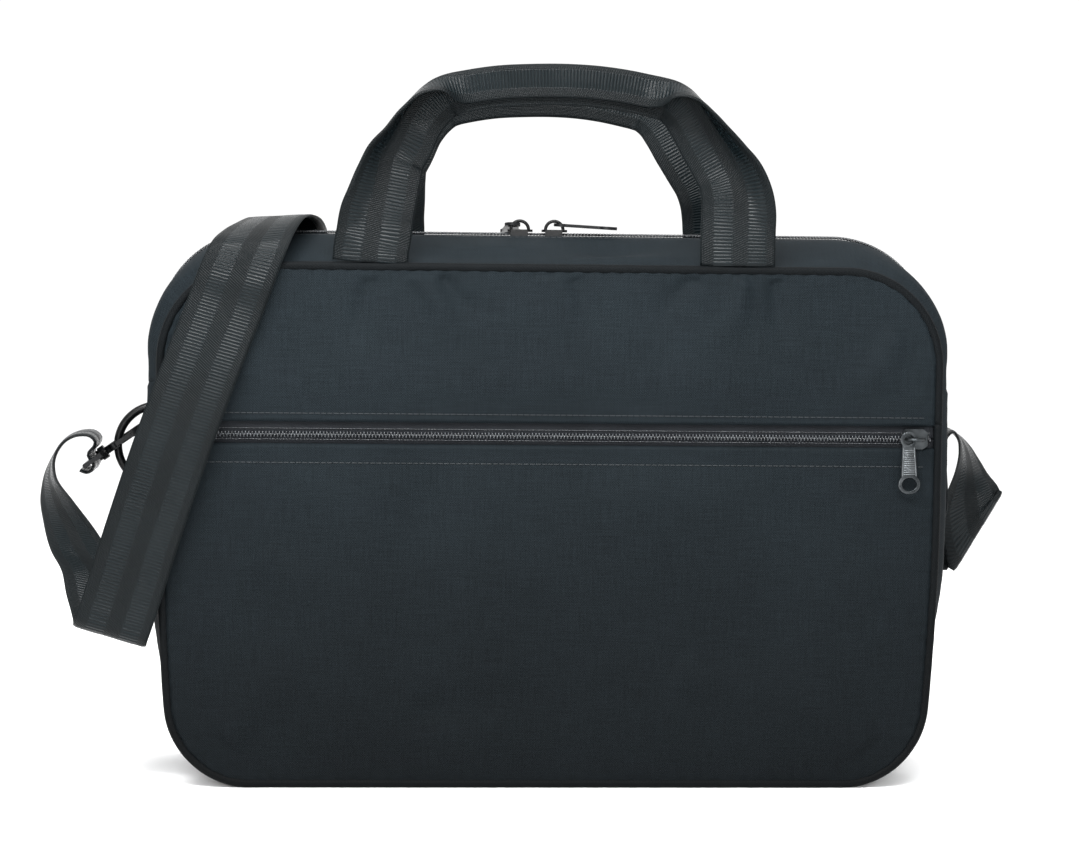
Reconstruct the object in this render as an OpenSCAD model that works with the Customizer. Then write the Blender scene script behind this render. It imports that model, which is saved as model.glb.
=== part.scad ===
// Soft zip-top flight bag: fabric body, two webbing handles, clip-on shoulder strap.
// Frame: +X to the right, front face towards -Y, +Z up, origin under the middle of the base.
// The webbing carries sewn-on hardware; the zip mouth hinges open along the front pocket seam.

/* [Body] */
// half width of the seam outline
seam_half_w = 196.5; // [160:0.5:230]
// height of the top seam
seam_top = 264; // [220:1:300]
// height of the bottom seam
seam_bottom = 3; // [2:0.5:6]
// half depth of the bag at the seams
half_depth = 50; // [40:1:70]
// top corner radius of the panels
top_r = 48; // [30:1:70]
// bottom corner radius of the panels
bottom_r = 38; // [20:1:60]
// fabric thickness of panels and gussets
skin = 2; // [1.5:0.1:3]
// piping cord radius
piping_r = 2.2; // [1.5:0.1:3]
// rise of the zip gusset over the top seam
ridge_rise = 18; // [10:1:25]
// bulge of the gusset at the sides
side_bulge = 3; // [1:0.5:14]

/* [Zips] */
// height where the zip gusset ends at each side
zip_end_z = 205; // [190:1:220]
// half width of the gap between the gusset edges
zip_gap = 8; // [6:0.5:12]
// half width of the zip tape
tape_w = 13.5; // [10:0.5:16]
// centre height of the front pocket zip
pocket_zip_z = 180; // [160:1:200]
// fold of the upper front panel, where the mouth hinges
hinge_z = 187.5; // [184:0.5:195]
// position of the left main slider
slider_left_x = -15; // [-120:1:-8]
// position of the right main slider
slider_right_x = 3; // [2:1:120]
// position of the pocket slider
pocket_slider_x = 185; // [100:0.5:186]

/* [Webbing] */
// width of handle and strap webbing
web_w = 38; // [25:1:50]
// thickness of the strap webbing
web_t = 1.8; // [1.4:0.1:2.6]
// thickness of the handle webbing
handle_t = 2.2; // [1.6:0.1:3]
// height of the foot fold of each handle
foot_z = 268; // [266:0.5:272]

/* [Hardware] */
// radius of the centre line of the D-ring
ring_r = 21; // [18:0.5:25]
// D-ring wire radius
wire_r = 2.2; // [1.6:0.1:3]
// side tab position along the depth
tab_y = 28; // [0:1:34]
// height of the side tab's middle
tab_z = 168; // [150:1:180]
// distance of the D-ring bar from the middle plane
ring_x = 203.9; // [202:0.1:210]

/* [Hidden] */
$fn = 48;
coil_w = 2.6;
coil_gap = 0.15;
inset = piping_r + 0.1;
fabric_y = half_depth - inset;
lateral = [-fabric_y, -42, -33, -22, -tape_w, -zip_gap];
black = [0.09, 0.1, 0.12];
web_black = [0.12, 0.13, 0.15];
metal = [0.16, 0.16, 0.17];
lining_grey = [0.2, 0.21, 0.23];

// ---------- outline of the bag: points are [x, z, outward x, outward z] ----------
function arc(cx, cz, r, a0, a1, n) =
  [for (i = [0:n]) let (a = a0 + (a1 - a0) * i / n) [cx + r * cos(a), cz + r * sin(a), cos(a), sin(a)]];
// slight narrowing of the bag towards its base
function taper(z) = z < 150 ? 1 - 0.04 * pow((150 - z) / 150, 2) : 1;
function smooth(u) = let (v = min(1, max(0, u))) v * v * (3 - 2 * v);
top_cx = seam_half_w - top_r;
top_cz = seam_top - top_r;
low_cx = seam_half_w - bottom_r;
low_cz = seam_bottom + bottom_r;
upper_path = concat([[-seam_half_w, zip_end_z, -1, 0]], arc(-top_cx, top_cz, top_r, 180, 90, 9),
  [for (x = [-97, -48, 0, 48, 97]) [x, seam_top, 0, 1]], arc(top_cx, top_cz, top_r, 90, 0, 9),
  [[seam_half_w, zip_end_z, 1, 0]]);
lower_path = concat([for (z = [zip_end_z - 0.6, 165, 125, 83]) [seam_half_w, z, 1, 0]],
  arc(low_cx, low_cz, bottom_r, 0, -90, 8),
  [for (x = [78, 0, -78]) [x, seam_bottom, 0, -1]], arc(-low_cx, low_cz, bottom_r, 270, 180, 8),
  [for (z = [83, 125, 165, zip_end_z - 0.6]) [-seam_half_w, z, -1, 0]]);
// how far the gusset swells beyond the seam in its middle
function swell(p) = p[3] > 0 ? side_bulge + (ridge_rise - side_bulge) * p[3]
  : p[3] < -0.01 ? mix(swell_side(p[1]), seam_bottom, -p[3]) : swell_side(p[1]);
function swell_side(z) = side_bulge * smooth((z + 10) / 125);
function mix(a, b, u) = a + (b - a) * u;
function dome(y) = 1 - pow(abs(y) / half_depth, 1.6);
function flat_dome(y) = min(1, (half_depth - abs(y)) / 10);
function dome_at(p, y) = p[3] < 0 ? mix(dome(y), flat_dome(y), -p[3]) : dome(y);
// point of the gusset surface at outline point p, depth y, t below the surface
function surf(p, y, t) = let (o = swell(p) * dome_at(p, y) - t)
  [p[0] * taper(p[1]) + p[2] * o, y, p[1] + p[3] * o];

// closed skin between t0 and t1 below the gusset surface, over depths ys
module band(path, ys, t0, t1) {
  n = len(path);
  m = len(ys);
  outer = [for (p = path) for (y = ys) surf(p, y, t0)];
  inner = [for (p = path) for (y = ys) surf(p, y, t1)];
  k = n * m;
  function q(i, j) = i * m + j;
  faces = concat(
    [for (i = [0:n - 2]) for (j = [0:m - 2]) each
      [[q(i, j), q(i, j + 1), q(i + 1, j + 1)], [q(i, j), q(i + 1, j + 1), q(i + 1, j)]]],
    [for (i = [0:n - 2]) for (j = [0:m - 2]) each
      [[k + q(i, j), k + q(i + 1, j + 1), k + q(i, j + 1)], [k + q(i, j), k + q(i + 1, j), k + q(i + 1, j + 1)]]],
    [for (i = [0:n - 2]) each [[q(i, 0), q(i + 1, 0), k + q(i + 1, 0)], [q(i, 0), k + q(i + 1, 0), k + q(i, 0)],
      [q(i, m - 1), k + q(i + 1, m - 1), q(i + 1, m - 1)], [q(i, m - 1), k + q(i, m - 1), k + q(i + 1, m - 1)]]],
    [for (j = [0:m - 2]) each [[q(0, j), k + q(0, j), k + q(0, j + 1)], [q(0, j), k + q(0, j + 1), q(0, j + 1)],
      [q(n - 1, j), k + q(n - 1, j + 1), k + q(n - 1, j)], [q(n - 1, j), q(n - 1, j + 1), k + q(n - 1, j + 1)]]]);
  polyhedron(points = concat(outer, inner), faces = faces, convexity = 6);
}

// flat outline of a panel, drawn in X and Z
module outline(off) {
  pts = concat(upper_path, lower_path);
  polygon([for (p = pts) [p[0] * taper(p[1]) - p[2] * off, p[1] - p[3] * off]]);
}
module panel(off, y0, y1, z0, z1) {
  translate([0, y1, 0]) rotate([90, 0, 0]) linear_extrude(y1 - y0) intersection() {
    outline(off);
    translate([-300, z0]) square([600, z1 - z0]);
  }
}

// round cord of radius r along an open or closed path in the plane y
module cord(path, y, r, sides, closed) {
  n = len(path);
  pts = [for (p = path) for (s = [0:sides - 1]) let (a = 360 * s / sides)
    [p[0] * taper(p[1]) + p[2] * r * cos(a), y + r * sin(a), p[1] + p[3] * r * cos(a)]];
  last = closed ? n - 1 : n - 2;
  side = [for (i = [0:last]) for (s = [0:sides - 1]) each let (a = i * sides, b = ((i + 1) % n) * sides,
    t = (s + 1) % sides) [[a + s, b + s, b + t], [a + s, b + t, a + t]]];
  caps = closed ? [] : [[for (s = [0:sides - 1]) s], [for (s = [0:sides - 1]) n * sides - 1 - s]];
  polyhedron(points = pts, faces = concat(side, caps), convexity = 6);
}
upper_cord = concat([[-seam_half_w, hinge_z + 1.2, -1, 0]], upper_path, [[seam_half_w, hinge_z + 1.2, 1, 0]]);
lower_cord = concat([[seam_half_w, hinge_z - 1.2, 1, 0]], [for (i = [1:len(lower_path) - 2]) lower_path[i]],
  [[-seam_half_w, hinge_z - 1.2, -1, 0]]);

// ---------- panels and gussets ----------
module front_panel_lower() color(black) panel(inset, -half_depth - 1, -half_depth + 1, -5, pocket_zip_z - 7);
module front_panel_upper() color(black) panel(inset, -half_depth - 1, -half_depth + 1, hinge_z + 0.6, 300);
module back_panel() color(black) panel(inset, half_depth - 1, half_depth + 1, -5, 300);
module side_bottom_gusset() color(black)
  band(lower_path, [-fabric_y, -40, -20, 0, 20, 40, fabric_y], 0, skin);
module top_gusset_front() color(black) band(upper_path, lateral, 0, skin);
module top_gusset_back() color(black)
  band(upper_path, [for (i = [len(lateral) - 1:-1:0]) -lateral[i]], 0, skin);
module piping_front_lower() color(black) cord(lower_cord, -half_depth, piping_r, 8, false);
module piping_front_upper() color(black) cord(upper_cord, -half_depth, piping_r, 8, false);
module piping_back() color(black) cord(concat(upper_path, lower_path), half_depth, piping_r, 8, true);
module pocket_lining() color(lining_grey)
  panel(inset + 0.1, -half_depth + 2.2, -half_depth + 2.8, 0, hinge_z - 1);
module base_board() color(lining_grey) translate([-146, -39, 2.5]) cube([292, 78, 2.5]);

// ---------- main zip ----------
module main_tape_front() color(black) band(upper_path, [-tape_w, -zip_gap, -3, -0.3], skin + 0.05, skin + 0.75);
module main_tape_back() color(black) band(upper_path, [0.3, 3, zip_gap, tape_w], skin + 0.05, skin + 0.75);
module main_coil_front() color(metal) band(upper_path, [-coil_w, -coil_gap], -0.5, skin);
module main_coil_back() color(metal) band(upper_path, [coil_gap, coil_w], -0.5, skin);

// slider in its own frame: zip along X, outward +Z, z = 0 at the gusset surface
slider_pts = [[-6.5, -3.2], [-5, -5], [4, -5.2], [6.5, -3.4], [6.5, 3.4], [4, 5.2], [-5, 5], [-6.5, 3.2]];
bail_r = 4.6;
bail_wire = 0.85;
module slider(both_lips) {
  color(metal) union() {
    translate([0, 0, 0.9]) linear_extrude(1.3) polygon(slider_pts);
    translate([-5, -5, -1.6]) cube([9, 1.5, 2.6]);
    if (both_lips) translate([-5, 3.5, -1.6]) cube([9, 1.5, 2.6]);
    translate([0, 0, 2]) rotate([90, 0, 0]) rotate_extrude(angle = 180) translate([bail_r, 0]) circle(bail_wire);
  }
}
// pull tab in its own frame: eye on the Z axis, tab along -Y, z = 0 in its middle
eye_r = 2.8;
eye_x = 3.8;
module pull(length) {
  tail = -length + 9;
  color(metal) difference() {
    union() {
      translate([0, 0, -0.8]) cylinder(h = 1.6, r = 4.1);
      translate([0, 0, -0.8]) linear_extrude(1.6) polygon([[-3.1, -2], [3.1, -2], [4.7, tail], [-4.7, tail]]);
      translate([0, tail, -0.8]) cylinder(h = 1.6, r = 5.3);
    }
    translate([0, 0, -2]) cylinder(h = 4, r = eye_r);
    translate([0, tail - 0.4, -2]) cylinder(h = 4, r = 3.2);
  }
}
ridge_z = seam_top + ridge_rise;
pull_up = 4.6;
module main_slider_left() translate([slider_left_x, 0, ridge_z]) slider(false);
module main_slider_right() translate([slider_right_x, 0, ridge_z]) slider(false);
module main_pull_left()
  translate([slider_left_x - eye_x, 0, ridge_z + pull_up]) rotate([0, 0, 180]) rotate([8, 0, 0]) pull(33);
module main_pull_right()
  translate([slider_right_x + eye_x, 0, ridge_z + pull_up]) rotate([0, 0, 76]) rotate([3, 0, 0]) pull(33);

// ---------- pocket zip ----------
module pocket_strip(z0, z1, y0, y1) translate([-189, y0, z0]) cube([378, y1 - y0, z1 - z0]);
module pocket_tape_lower() color(black)
  pocket_strip(pocket_zip_z - 13, pocket_zip_z - 0.2, -half_depth + 1.05, -half_depth + 1.7);
module pocket_tape_upper() color(black)
  pocket_strip(pocket_zip_z + 0.2, hinge_z - 0.4, -half_depth + 1.05, -half_depth + 1.7);
module pocket_coil_lower() color(metal)
  pocket_strip(pocket_zip_z - 2.9, pocket_zip_z - coil_gap, -half_depth - 1.2, -half_depth + 1);
module pocket_coil_upper() color(metal)
  pocket_strip(pocket_zip_z + coil_gap, pocket_zip_z + 2.9, -half_depth - 1.2, -half_depth + 1);
module on_pocket() translate([pocket_slider_x, -half_depth - 0.7, pocket_zip_z]) rotate([90, 0, 0]) children();
module pocket_slider() on_pocket() slider(true);
module pocket_pull() on_pocket() translate([-eye_x, 0, pull_up]) rotate([0, 0, 2]) pull(31.6);

// ---------- handles ----------
handle_outer = [[-111, 0], [-109.5, 12], [-105, 27], [-98.5, 42], [-89, 57], [-77, 73], [-68, 82], [-59, 89.5],
  [-45, 94.5], [-25, 98.5], [0, 99.8], [27, 98.6], [46, 95.5], [60, 91], [70, 84], [79, 74], [90, 57],
  [99.5, 42], [106.5, 27], [111, 12], [112, 0]];
handle_inner = [[74, 0], [73, 14], [70.5, 28], [67, 40], [62, 52], [56, 62], [53, 70.5], [28, 76], [0, 77.5],
  [-28, 76.6], [-56, 72.5], [-60, 61], [-64, 49], [-68, 31], [-71, 15], [-73, 0]];
module handle_at(y) {
  color(web_black) translate([0, y, foot_z]) union() {
    translate([0, handle_t / 2, 0]) rotate([90, 0, 0]) linear_extrude(handle_t)
      polygon(concat(handle_outer, handle_inner));
    // the grip is the webbing folded in half along its length
    translate([0, handle_t / 2 + 1.1, 0]) rotate([90, 0, 0]) linear_extrude(handle_t + 2.2) intersection() {
      polygon(concat(handle_outer, handle_inner));
      translate([-58, 68]) square([112, 40]);
    }
    // rolled lower edge of each foot
    translate([-111, 0, 0]) rotate([0, 90, 0]) cylinder(h = web_w, r = handle_t / 2);
    translate([74, 0, 0]) rotate([0, 90, 0]) cylinder(h = web_w, r = handle_t / 2);
  }
}
module handle_front() handle_at(-half_depth + 0.4);
module handle_back() handle_at(half_depth - 0.4);

// ---------- side tabs and D-rings ----------
// tab in its own frame: D-ring bar on the Z axis, bag towards +X, lying back against the gusset
module side_tab() {
  color(web_black) translate([0, 0, -18]) difference() {
    union() {
      cylinder(h = 36, r = wire_r + 1.8);
      linear_extrude(36) polygon([[-1.5, -3.2], [3.2, -3.2], [2.1, -16], [0.6, -16]]);
    }
    translate([0, 0, -1]) cylinder(h = 38, r = wire_r + 0.08);
  }
}
module side_tab_left() translate([-ring_x, tab_y, tab_z]) side_tab();
module side_tab_right() mirror([1, 0, 0]) side_tab_left();
// D-ring in its own frame: bar on the Z axis, ring towards -X
module d_ring() {
  color(metal) union() {
    translate([0, 0, -ring_r]) cylinder(h = 2 * ring_r, r = wire_r);
    rotate([90, 0, 0]) rotate([0, 0, 90]) rotate_extrude(angle = 180) translate([ring_r, 0]) circle(wire_r);
    for (s = [-1, 1]) translate([0, 0, s * ring_r]) sphere(wire_r + 0.02);
  }
}
module d_ring_left() translate([-ring_x, tab_y, tab_z]) d_ring();
ring_right_turn = 105;
module d_ring_right() translate([ring_x, tab_y, tab_z]) rotate([0, 0, -ring_right_turn]) d_ring();

// ---------- snap hooks: own frame, jaw towards +Z, strap bar along Y, swivel on the Z axis ----------
jaw_w = 8.6;
jaw_in = 5.6;
jaw_t = 4;
jaw_cz = 16;
pivot = [7.1, 5.2];
module jaw_outline() {
  difference() {
    union() {
      translate([0, jaw_cz]) circle(jaw_w);
      polygon([[-jaw_w, jaw_cz], [-jaw_w, 6], [-5, 0], [5, 0], [jaw_w, 4], [jaw_w, jaw_cz]]);
    }
    translate([0, jaw_cz]) circle(jaw_in);
    translate([-jaw_in, 8]) square([2 * jaw_in, jaw_cz - 8]);
    translate([0, 8]) circle(jaw_in);
  }
}
module snap_hook() {
  color(metal) union() {
    difference() {
      rotate([0, 0, -90]) translate([0, jaw_t / 2, 0]) rotate([90, 0, 0]) linear_extrude(jaw_t) jaw_outline();
      // gap for the gate, and the slot for its knuckle
      translate([-jaw_t, -jaw_w - 2, 7.6]) cube([2 * jaw_t, jaw_w + 2 - 4.5, 9]);
      translate([-1.4, -pivot[0], pivot[1]]) rotate([0, 90, 0]) cylinder(h = 2.8, r = 2.5);
      translate([-1.4, -jaw_w - 2, pivot[1]]) cube([2.8, jaw_w + 2 - 4.7, 4]);
    }
    translate([-jaw_t / 2, -pivot[0], pivot[1]]) rotate([0, 90, 0]) cylinder(h = jaw_t, r = 0.7);
    translate([0, 0, -4.6]) cylinder(h = 5, r = 1.7);
    translate([0, 0, -5.4]) cylinder(h = 1.2, r = 2.9);
  }
}
module hook_gate() {
  color(metal) difference() {
    union() {
      translate([-1.15, -pivot[0], pivot[1]]) rotate([0, 90, 0]) cylinder(h = 2.3, r = 1.9);
      translate([-1.15, -pivot[0] - 1.3, pivot[1]]) cube([2.3, 2.6, 11]);
    }
    translate([-2, -pivot[0], pivot[1]]) rotate([0, 90, 0]) cylinder(h = 4, r = 0.75);
  }
}
eye_half = web_w / 2 + 1;
module hook_eye() {
  color(metal) difference() {
    union() {
      translate([0, 0, -3.9]) cylinder(h = 3.6, r = 3.7);
      for (s = [-1, 1]) translate([-1.4, s > 0 ? 1 : -1 - eye_half, -3.9]) cube([2.8, eye_half, 2.6]);
      for (s = [-1, 1]) translate([-1.1, s * (eye_half + 0.9) - 1.1, -11.5]) cube([2.2, 2.2, 10.2]);
      translate([0, -eye_half - 1.4, -11.5]) rotate([-90, 0, 0]) cylinder(h = 2 * eye_half + 2.8, r = 1.3);
    }
    translate([0, 0, -7]) cylinder(h = 8, r = 1.78);
    translate([0, 0, -8]) cylinder(h = 4.3, r = 3.1);
  }
}
hook_tilt = 55;
module at_left_hook() translate([-230.8, tab_y, 165]) rotate([0, hook_tilt, 0]) children();
module at_right_hook() translate([207, 39.6, 133.9]) children();
module snap_hook_left() at_left_hook() snap_hook();
module hook_gate_left() at_left_hook() hook_gate();
module hook_eye_left() at_left_hook() hook_eye();
module snap_hook_right() at_right_hook() rotate([0, 0, 75]) snap_hook();
module hook_gate_right() at_right_hook() rotate([0, 0, 75]) hook_gate();
module hook_eye_right() at_right_hook() hook_eye();

// ---------- shoulder strap: stations of [centre, half-width vector] ----------
half = web_w / 2;
strap_left_end = [
  [[-243.2, tab_y, 155.7], [0, -half, 0]],
  [[-239.9, tab_y, 154.5], [0, -half, 0]],
  [[-237.1, tab_y, 155.7], [0, -half, 0]],
  [[-236.1, tab_y, 158.1], [0, -half, 0]],
  [[-237.2, tab_y, 160.6], [0, -half, 0]],
  [[-239, tab_y, 163.4], [0, -half, 0]],
  [[-238.4, tab_y, 167.2], [0, -half, 0]],
  [[-235.4, tab_y, 171.4], [0, -half, 0]],
  [[-234.2, tab_y, 175.6], [0, -half, 0]],
  [[-236.4, tab_y, 179], [0, -half, 0]],
  [[-241, tab_y, 179.6], [0, -half, 0]],
  [[-245.8, tab_y - 0.5, 176.4], [0.5, -half, 0]],
  [[-248.8, tab_y - 1, 169.5], [1.5, -half, 0]]];
strap_front = [
  [[-249.6, 25, 159.5], [4.5, -18.4, 0]],
  [[-246.5, 17, 148], [10, -16.1, 0]],
  [[-240.5, 4, 134], [14.6, -12.2, -0.5]],
  [[-235.5, -11, 119], [17, -8.3, -1.5]],
  [[-231, -27, 104], [18.2, -4.8, -2.6]],
  [[-226.6, -40, 91.5], [18.4, -2, -4.2]],
  [[-224, -45.6, 84], [18.2, 0, -5.4]],
  [[-222.6, -48, 79.2], [18.2, 0, -5.4]],
  [[-222.2, -51.6, 77.6], [18.2, 0, -5.4]],
  [[-221.2, -54.9, 80.4], [18.2, 0, -5.4]],
  [[-218.6, -55.6, 88], [18.2, 0, -5.4]],
  [[-205.4, -55, 130], [18.2, 0, -5.4]],
  [[-190, -54.6, 176], [18.2, 0, -5.4]],
  [[-175.5, -54.8, 216], [18.2, 0, -5.2]],
  [[-164, -55.4, 246], [18.2, 0, -5.2]],
  [[-158.5, -55.8, 261], [18.3, -0.6, -4.8]],
  [[-153.5, -50.6, 273.4], [18.4, -3.2, -3]],
  [[-149, -39, 281.2], [18, -6, -0.6]],
  [[-144, -23, 286.8], [17.4, -7.4, 1.2]],
  [[-139.5, -4, 289], [17.2, -8, 1]],
  [[-136, 15, 287.6], [17.4, -7.6, 1]],
  [[-134, 33, 282], [17.8, -6, 2.6]],
  [[-133.6, 47.6, 276.4], [18.4, -3, 3.4]],
  [[-133.2, 55.4, 264], [18.7, -0.6, 3.2]],
  [[-131, 56, 247], [18.5, 0, 4.4]]];
strap_back = [
  [[-119, 55.6, 212], [16.8, 0, 8.9]],
  [[-93, 55.6, 177], [13.6, 0, 13.3]],
  [[-52, 55.6, 144], [10.6, 0, 15.8]],
  [[-2, 55.6, 116], [7.6, 0, 17.4]],
  [[55, 55.6, 100], [4, 0, 18.5]],
  [[110, 56.4, 97], [-0.6, 0, 19]],
  [[160, 59.4, 104.7], [-3.6, 0, 18.6]],
  [[196, 62.9, 112.6], [-4.2, 0, 18.5]],
  [[220, 63.4, 117.9], [-3.6, 0, 18.7]],
  [[232, 63.2, 120.5], [5, 0, 21]]];
// diagonal turn at the right: the ribbon is creased along an oblique line
strap_turn = [
  [[241, 63, 122.5], [13, 0, 22]],
  [[242.6, 62.3, 121.6], [13, 0, 22]],
  [[243.2, 61.1, 121.2], [13, 0, 22]],
  [[242.6, 59.9, 121.6], [13, 0, 22]],
  [[241, 59.2, 122.5], [13, 0, 22]]];
// up, over, and down round the bar of the right hook
strap_right_end = [
  [[238.6, 58.9, 131], [16.5, 1.5, 12]],
  [[236.9, 58.2, 140], [16.6, 5, 7]],
  [[236.2, 57, 149], [13.6, 12.6, 3.5]],
  [[235.2, 55.2, 158], [10, 16, 2]],
  [[233, 53.8, 167], [6.4, 17.8, 1]],
  [[228.5, 53, 174.5], [3, 18.7, 0]],
  [[223, 52.6, 177.8], [0.5, 19, 0]],
  [[219.6, 52, 175.4], [0, 19, 0]],
  [[218.4, 51, 167], [0, 19, 0]],
  [[218.4, 48, 155], [0, 19, 0]],
  [[218.4, 44.5, 145], [0, 19, 0]],
  [[217.6, 41.6, 137], [0, 19, 0]],
  [[215.8, 40, 131.6], [0, 19, 0]],
  [[213.4, 39.6, 127.2], [0, 19, 0]],
  [[211.3, 39.6, 123.8], [0, 19, 0]],
  [[210.2, 39.6, 121.4], [0, 19, 0]],
  [[207, 39.6, 119.2], [0, 19, 0]],
  [[203.8, 39.6, 122.4], [0, 19, 0]],
  [[205.1, 39.6, 125.3], [0, 19, 0]],
  [[208, 39.6, 126.3], [0, 19, 0]],
  [[211.3, 39.6, 127.6], [0, 19, 0]],
  [[212.3, 39.6, 130.4], [0, 19, 0]],
  [[212.5, 39.6, 132.8], [0, 19, 0]]];
strap = concat(strap_left_end, strap_front, strap_back, strap_turn, strap_right_end);

// ribbon of thickness t through the stations, with smooth joints between them
module ribbon(st, t) {
  n = len(st);
  function dir(i) = st[min(n - 1, i + 1)][0] - st[max(0, i - 1)][0];
  function nrm(i) = let (c = cross(st[i][1], dir(i))) c / norm(c) * t / 2;
  pts = [for (i = [0:n - 1]) let (c = st[i][0], h = st[i][1], u = nrm(i)) each
    [c - h - u, c + h - u, c + h + u, c - h + u]];
  side = [for (i = [0:n - 2]) for (s = [0:3]) each let (a = 4 * i, b = 4 * i + 4, v = (s + 1) % 4)
    [[a + s, a + v, b + v], [a + s, b + v, b + s]]];
  caps = [[3, 2, 1, 0], [4 * n - 4, 4 * n - 3, 4 * n - 2, 4 * n - 1]];
  polyhedron(points = pts, faces = concat(side, caps), convexity = 10);
}
module shoulder_strap() color(web_black) ribbon(strap, web_t);

front_panel_lower();
front_panel_upper();
back_panel();
side_bottom_gusset();
top_gusset_front();
top_gusset_back();
piping_front_lower();
piping_front_upper();
piping_back();
main_tape_front();
main_tape_back();
main_coil_front();
main_coil_back();
main_slider_left();
main_slider_right();
main_pull_left();
main_pull_right();
pocket_tape_lower();
pocket_tape_upper();
pocket_coil_lower();
pocket_coil_upper();
pocket_slider();
pocket_pull();
pocket_lining();
base_board();
handle_front();
handle_back();
side_tab_left();
side_tab_right();
d_ring_left();
d_ring_right();
snap_hook_left();
snap_hook_right();
hook_gate_left();
hook_gate_right();
hook_eye_left();
hook_eye_right();
shoulder_strap();
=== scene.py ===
"""Looks of a soft zip-top flight bag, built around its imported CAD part.

Lengths inside the script are millimetres in the part's frame; meshes are scaled to metres when made.
"""
import math

import bmesh
import bpy
import numpy as np
from mathutils import Matrix, Vector, noise


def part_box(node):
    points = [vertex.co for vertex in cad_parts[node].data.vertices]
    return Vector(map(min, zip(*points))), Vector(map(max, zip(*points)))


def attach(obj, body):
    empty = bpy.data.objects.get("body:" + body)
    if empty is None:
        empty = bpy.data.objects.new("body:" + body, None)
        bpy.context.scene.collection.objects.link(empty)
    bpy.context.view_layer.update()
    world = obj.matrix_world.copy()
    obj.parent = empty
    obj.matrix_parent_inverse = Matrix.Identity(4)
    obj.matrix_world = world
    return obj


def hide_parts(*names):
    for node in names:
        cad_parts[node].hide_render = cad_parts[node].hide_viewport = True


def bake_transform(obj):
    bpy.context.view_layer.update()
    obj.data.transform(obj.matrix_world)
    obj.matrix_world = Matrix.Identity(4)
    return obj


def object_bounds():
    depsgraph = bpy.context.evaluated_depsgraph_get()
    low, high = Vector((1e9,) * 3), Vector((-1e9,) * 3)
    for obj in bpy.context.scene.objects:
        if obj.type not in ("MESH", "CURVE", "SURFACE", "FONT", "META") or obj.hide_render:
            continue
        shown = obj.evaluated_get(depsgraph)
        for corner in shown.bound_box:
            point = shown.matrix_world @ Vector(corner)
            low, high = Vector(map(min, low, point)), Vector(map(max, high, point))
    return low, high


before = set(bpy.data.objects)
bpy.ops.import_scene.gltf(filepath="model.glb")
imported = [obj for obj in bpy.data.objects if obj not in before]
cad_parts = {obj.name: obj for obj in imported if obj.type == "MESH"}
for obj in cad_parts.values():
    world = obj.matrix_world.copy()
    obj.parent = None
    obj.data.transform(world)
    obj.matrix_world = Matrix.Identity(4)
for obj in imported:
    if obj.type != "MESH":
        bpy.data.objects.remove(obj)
cad_lo, cad_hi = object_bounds()
MM = 0.001


def box_mm(node):
    lo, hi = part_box(node)
    return np.array(lo) / MM, np.array(hi) / MM


# ---------- sizes read from the frame ----------
pipe_lo, pipe_hi = box_mm("piping_back")
PIPING_R = (pipe_hi[1] - pipe_lo[1]) / 2
HALF_DEPTH = (pipe_hi[1] + pipe_lo[1]) / 2
SEAM_W = pipe_hi[0] - PIPING_R
SEAM_TOP = pipe_hi[2] - PIPING_R
SEAM_LOW = pipe_lo[2] + PIPING_R
ZIP_END = box_mm("top_gusset_front")[0][2]
HINGE_Z = box_mm("piping_front_upper")[0][2] - 1.2
RIDGE_Z = box_mm("main_coil_front")[1][2] - 0.5
ZIP_Z = (box_mm("pocket_coil_lower")[1][2] + box_mm("pocket_coil_upper")[0][2]) / 2
FOOT_Z = box_mm("handle_front")[0][2] + 1.1
RIDGE_RISE = RIDGE_Z - SEAM_TOP
TOP_R, LOW_R = 48, 38
SIDE_BULGE = 3
SIDE_FULLNESS = 6.5
TOP_CX, TOP_CZ = SEAM_W - TOP_R, SEAM_TOP - TOP_R  # centres of the seam's corners
LOW_CX, LOW_CZ = SEAM_W - LOW_R, SEAM_LOW + LOW_R
SEAM_STEP = 2.4
ZIP_GAP = 8
ZIP_STITCH = ZIP_GAP + 2.6
GUSSET_HALF = HALF_DEPTH - 1.2
PANEL_INSET = 0.9
PANEL_COLUMNS = 181
HEM_TURN = np.radians([25, 60, 100, 140, 180])
HEM_ROWS = len(HEM_TURN) + 1
WEB_W = 38
CLOTH = 0.9  # thickness of the body cloth


# ---------- numbers ----------
def smooth(u):
    u = np.clip(u, 0, 1)
    return u * u * (3 - 2 * u)


def unit(v):
    return v / np.maximum(np.linalg.norm(v, axis=-1, keepdims=True), 1e-9)


def wobble(points, scale, seed=0.0):
    """Smooth noise from -1 to 1 at each point, with features about scale mm wide."""
    flat = np.asarray(points, float).reshape(-1, 3) / scale
    out = [noise.noise(Vector((p[0] + seed, p[1] - seed, p[2] + 2 * seed))) for p in flat]
    return np.array(out).reshape(np.shape(points)[:-1])


def through(stations, step):
    """Smooth curve through stations, whose first three values are a point, sampled about every step."""
    p = np.array(stations, float)
    gap = np.linalg.norm(np.diff(p[:, :3], axis=0), axis=1)
    slope = np.diff(p, axis=0) / gap[:, None]
    tangent = np.empty_like(p)
    tangent[0], tangent[-1] = slope[0], slope[-1]
    before, after = gap[:-1, None], gap[1:, None]
    tangent[1:-1] = (slope[:-1] * after + slope[1:] * before) / (before + after)
    rows = []
    for i, g in enumerate(gap):
        n = max(1, round(g / step))
        t = (np.arange(n) / n)[:, None]
        rows.append((2 * t**3 - 3 * t**2 + 1) * p[i] + (t**3 - 2 * t**2 + t) * g * tangent[i]
                    + (3 * t**2 - 2 * t**3) * p[i + 1] + (t**3 - t**2) * g * tangent[i + 1])
    return np.vstack([*rows, p[-1:]])


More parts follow.
